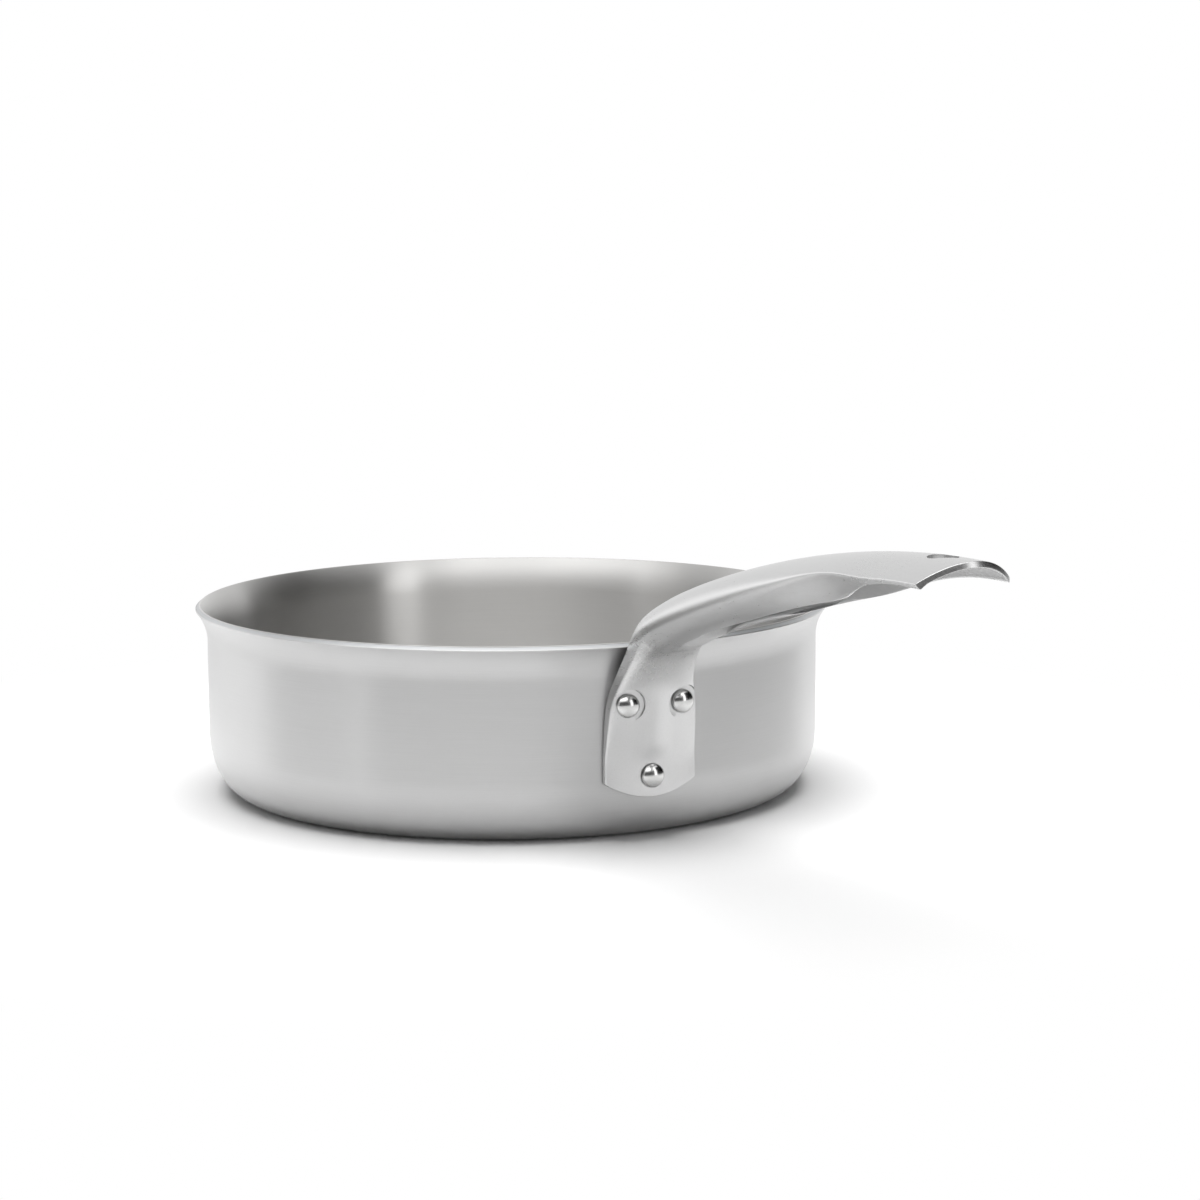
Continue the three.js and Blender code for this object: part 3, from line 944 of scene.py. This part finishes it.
def polished(name, darker, lighter, low, high):
    material, tree, shader = new_metal(name)
    marks = stretched(tree, add(tree, "ShaderNodeTexCoord").outputs["Object"], POLISH_SCALE)
    share = scratch(tree, shader, marks, low, high, POLISH_DEPTH)
    tint(tree, shader, share, darker, lighter)
    return material


rivet_steel = polished("polished steel", (0.62, 0.62, 0.615), (0.66, 0.66, 0.655), 0.17, 0.22)
print("polished:", rivet_steel.name)

# %% [markdown]
# Every piece gets its finish, rides on the one rigid body of the pan, and stands for its CAD node.

# %% Put the pieces in place of the CAD nodes
PIECES = [
    (outer_skin, "outer_steel_skin", skin_steel, "skin_steel"),
    (core, "aluminium_core", core_aluminium, "core_aluminium"),
    (liner, "inner_steel_liner", liner_steel, "liner_steel"),
    (handle, "handle", handle_steel, "handle_steel"),
]
PIECES += [(piece, node, rivet_steel, "rivet_steel") for node, piece in rivets.items()]
for piece, node, material, slot in PIECES:
    piece.data.materials.clear()
    piece.data.materials.append(material)
    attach(piece, "root")
    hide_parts(node)
    print(piece.name, "stands for", node)

# %% [markdown]
# ## Studio
# The pan stands on white paper. Close to the pan the paper is matt, so that it takes the shadow. Further
# out it goes over to a glow of strength 1, which is white. Lighting all of the paper up to white would
# be the plain way, but would light the metal too.

# %% Paper floor
FULL_WHITE = (1, 1, 1, 1)
PAPER_WHITE = (0.93, 0.93, 0.93, 1)
PAPER_SIZE = 8
GLOW_BEGINS = 0.17
GLOW_FULL = 0.36

scene = bpy.context.scene
scene.view_settings.view_transform = "Standard"


def blend(tree, share, first, second, output):
    """Two shaders mixed by a share and sent to an output node."""
    mixed = add(tree, "ShaderNodeMixShader", Fac=share)
    tree.links.new(first, mixed.inputs[1])
    tree.links.new(second, mixed.inputs[2])
    add(tree, output, Surface=mixed.outputs["Shader"])


def empty_tree(owner):
    owner.use_nodes = True
    owner.node_tree.nodes.clear()
    return owner.node_tree


floor_shape = bmesh.new()
bmesh.ops.create_grid(floor_shape, x_segments=1, y_segments=1, size=PAPER_SIZE)
floor = finish_mesh("paper floor", floor_shape)
paper = bpy.data.materials.new("white_paper")
tree = empty_tree(paper)
matt = add(tree, "ShaderNodeBsdfDiffuse", Color=PAPER_WHITE).outputs["BSDF"]
glow = add(tree, "ShaderNodeEmission", Color=FULL_WHITE, Strength=1).outputs["Emission"]
place = add(tree, "ShaderNodeTexCoord").outputs["Object"]
away = add(tree, "ShaderNodeVectorMath", operation="LENGTH", Vector=place).outputs["Value"]
fade = add(tree, "ShaderNodeMapRange", interpolation_type="SMOOTHSTEP", Value=away)
fade.inputs["From Min"].default_value = GLOW_BEGINS
fade.inputs["From Max"].default_value = GLOW_FULL
blend(tree, fade.outputs["Result"], matt, glow, "ShaderNodeOutputMaterial")
floor.data.materials.append(paper)
print("paper", 2 * PAPER_SIZE, "m across, all white from", GLOW_FULL, "m")

# %% [markdown]
# A white room stands round the paper. The camera and the metal see it at full white, while it gives the
# paper only a little light, or the shadow would be filled in. The Light Path node tells the kinds of
# rays apart.

# %% White room
ROOM_LIGHT = 0.15

world = bpy.data.worlds.new("studio") if scene.world is None else scene.world
scene.world = world
tree = empty_tree(world)
room = add(tree, "ShaderNodeBackground", Color=FULL_WHITE, Strength=ROOM_LIGHT).outputs["Background"]
white = add(tree, "ShaderNodeBackground", Color=FULL_WHITE, Strength=1).outputs["Background"]
path = add(tree, "ShaderNodeLightPath")
seen = path.outputs["Is Camera Ray"]
for kind in ("Is Glossy Ray", "Is Transmission Ray"):
    either = add(tree, "ShaderNodeMath", operation="MAXIMUM", Value=seen)
    tree.links.new(path.outputs[kind], either.inputs[1])
    seen = either.outputs["Value"]
blend(tree, seen, room, white, "ShaderNodeOutputWorld")
print("room light on the paper:", ROOM_LIGHT)

# %% [markdown]
# One large round lamp hangs above the pan, a little behind it and to its left, so that a soft shadow comes
# forward. The metal doesn't show it: what the metal shows is set up by itself in the next step.

# %% Overhead lamp
CAMERA_SIDE = radians(24)
LAMP_AZIMUTH = -150
LAMP_ELEVATION = 85
LAMP_DISTANCE = 2
LAMP_SIZE = 2.4
LAMP_POWER = 64


def in_studio(azimuth, elevation, distance):
    """A place around the pan, the azimuth counted from the camera and positive to its right."""
    turn = radians(azimuth) - CAMERA_SIDE
    rise = radians(elevation)
    return Vector((cos(rise) * cos(turn), cos(rise) * sin(turn), sin(rise))) * distance


overhead = bpy.data.lights.new("overhead_lamp", "AREA")
overhead.shape = "DISK"
overhead.size = LAMP_SIZE
overhead.energy = LAMP_POWER
lamp = bpy.data.objects.new("overhead_lamp", overhead)
lamp.location = in_studio(LAMP_AZIMUTH, LAMP_ELEVATION, LAMP_DISTANCE)
lamp.rotation_mode = "QUATERNION"
lamp.rotation_quaternion = (-lamp.location).to_track_quat("-Z", "Y")
lamp.visible_glossy = False
bpy.context.collection.objects.link(lamp)
print("lamp at", [round(x, 2) for x in lamp.location])

# %% [markdown]
# Metal shows its surroundings more than itself, so a photographer builds the reflections: softboxes where
# a face should shine, dark cards where it should fall off. Each panel is a piece of a sphere round the
# pan. Area lamps have hard edges in a reflection, so a panel is a mesh whose cover fades out at its edges.

# %% A sheet with fading edges
PANEL_ROWS = 24
PANEL_COLUMNS = 48


def fading_sheet(name, left, right, low, high, edge, distance):
    """A piece of a sphere between four angles in degrees, its cover fading out over the width of the edge."""
    shape = bmesh.new()
    cover = shape.verts.layers.float.new("cover")
    rows = []
    for elevation in [mix(low, high, up) for up in steps(PANEL_ROWS)]:
        row = []
        for azimuth in [mix(left, right, along) for along in steps(PANEL_COLUMNS)]:
            corner = shape.verts.new(in_studio(azimuth, elevation, distance))
            sides = ramp(min(azimuth - left, right - azimuth), 0, edge)
            corner[cover] = sides * ramp(min(elevation - low, high - elevation), 0, edge)
            row.append(corner)
        rows.append(row)
    for lower, upper in zip(rows, rows[1:]):
        for i in range(PANEL_COLUMNS):
            shape.faces.new((lower[i], lower[i + 1], upper[i + 1], upper[i]))
    return finish_mesh(name, shape)


def panel_light(name, glow):
    """Light of one strength where the cover is full, and nothing where it has faded out."""
    material = bpy.data.materials.new(name)
    tree = empty_tree(material)
    shine = add(tree, "ShaderNodeEmission", Color=FULL_WHITE, Strength=glow).outputs["Emission"]
    clear = add(tree, "ShaderNodeBsdfTransparent").outputs["BSDF"]
    cover = add(tree, "ShaderNodeAttribute", attribute_name="cover").outputs["Fac"]
    blend(tree, cover, clear, shine, "ShaderNodeOutputMaterial")
    return material


print("faces in one panel:", PANEL_ROWS * PANEL_COLUMNS)

# %% [markdown]
# The front softbox lights the wall and the top of the handle, the side softbox the left of the wall, and
# the strip draws the bright stripe inside. The cards give the steel its darker bands. All of them are
# there for reflections only, so they change neither the paper nor the shadow.

# %% Panels round the pan
# name, then in degrees left, right, low, high and the soft edge, then distance in m and glow (1 is white)
PANELS = [
    ("front_softbox", -90, 56, 36, 84, 8, 2.4, 2.7),
    ("side_softbox", -142, -100, -6, 30, 8, 2.4, 1.6),
    ("strip_softbox", 37, 58, -6, 70, 3, 2.3, 2.1),
    ("grey_front", -100, -56, -4, 32, 6, 2.4, 0.45),
    ("dark_front", -56, 42, -4, 31, 5, 2.25, 0.08),
    ("dark_side", 54, 132, -4, 48, 3, 2.2, 0),
]
for name, left, right, low, high, edge, distance, glow in PANELS:
    sheet_of_light = fading_sheet(name, left, right, low, high, edge, distance)
    sheet_of_light.data.materials.append(panel_light(name, glow))
    sheet_of_light.visible_camera = False
    sheet_of_light.visible_diffuse = False
    sheet_of_light.visible_shadow = False
    sheet_of_light.visible_transmission = False
    print(name, "glows", glow)

# %% [markdown]
# ## Camera
# The camera was found from the photograph: the ellipses of the rim and the base give its height and
# distance, the handle gives the side from which it looks. The pan is not in the middle of the picture. A
# lens shift could place it, but the camera is turned off the pan instead, which needs no shift.

# %% Camera
CAMERA_DISTANCE = 1.21
CAMERA_UP = radians(9.605)
CAMERA_ROLL = radians(-0.618)
FOCAL_PIXELS = 2979.3
PICTURE_PIXELS = 1200
AIM = Vector((0, 0, 45 * MM))
AIM_PIXEL = Vector((512.1, 670.7))
SENSOR_MM = 36

camera_data = bpy.data.cameras.new("camera")
camera_data.sensor_width = SENSOR_MM
camera_data.lens = SENSOR_MM * FOCAL_PIXELS / PICTURE_PIXELS
camera = bpy.data.objects.new("camera", camera_data)
bpy.context.collection.objects.link(camera)
towards = Vector((cos(CAMERA_SIDE) * cos(CAMERA_UP), -sin(CAMERA_SIDE) * cos(CAMERA_UP), sin(CAMERA_UP)))
off_centre = AIM_PIXEL - Vector((PICTURE_PIXELS / 2, PICTURE_PIXELS / 2))
look = (-towards).to_track_quat("-Z", "Y")
look = look @ Quaternion((0, 1, 0), atan(off_centre.x / FOCAL_PIXELS))
look = look @ Quaternion((1, 0, 0), atan(off_centre.y / FOCAL_PIXELS))
look = look @ Quaternion((0, 0, 1), CAMERA_ROLL)
camera.location = AIM + towards * CAMERA_DISTANCE
camera.rotation_mode = "QUATERNION"
camera.rotation_quaternion = look
scene.camera = camera
print("camera at", [round(x, 3) for x in camera.location], "lens", round(camera_data.lens, 1), "mm")
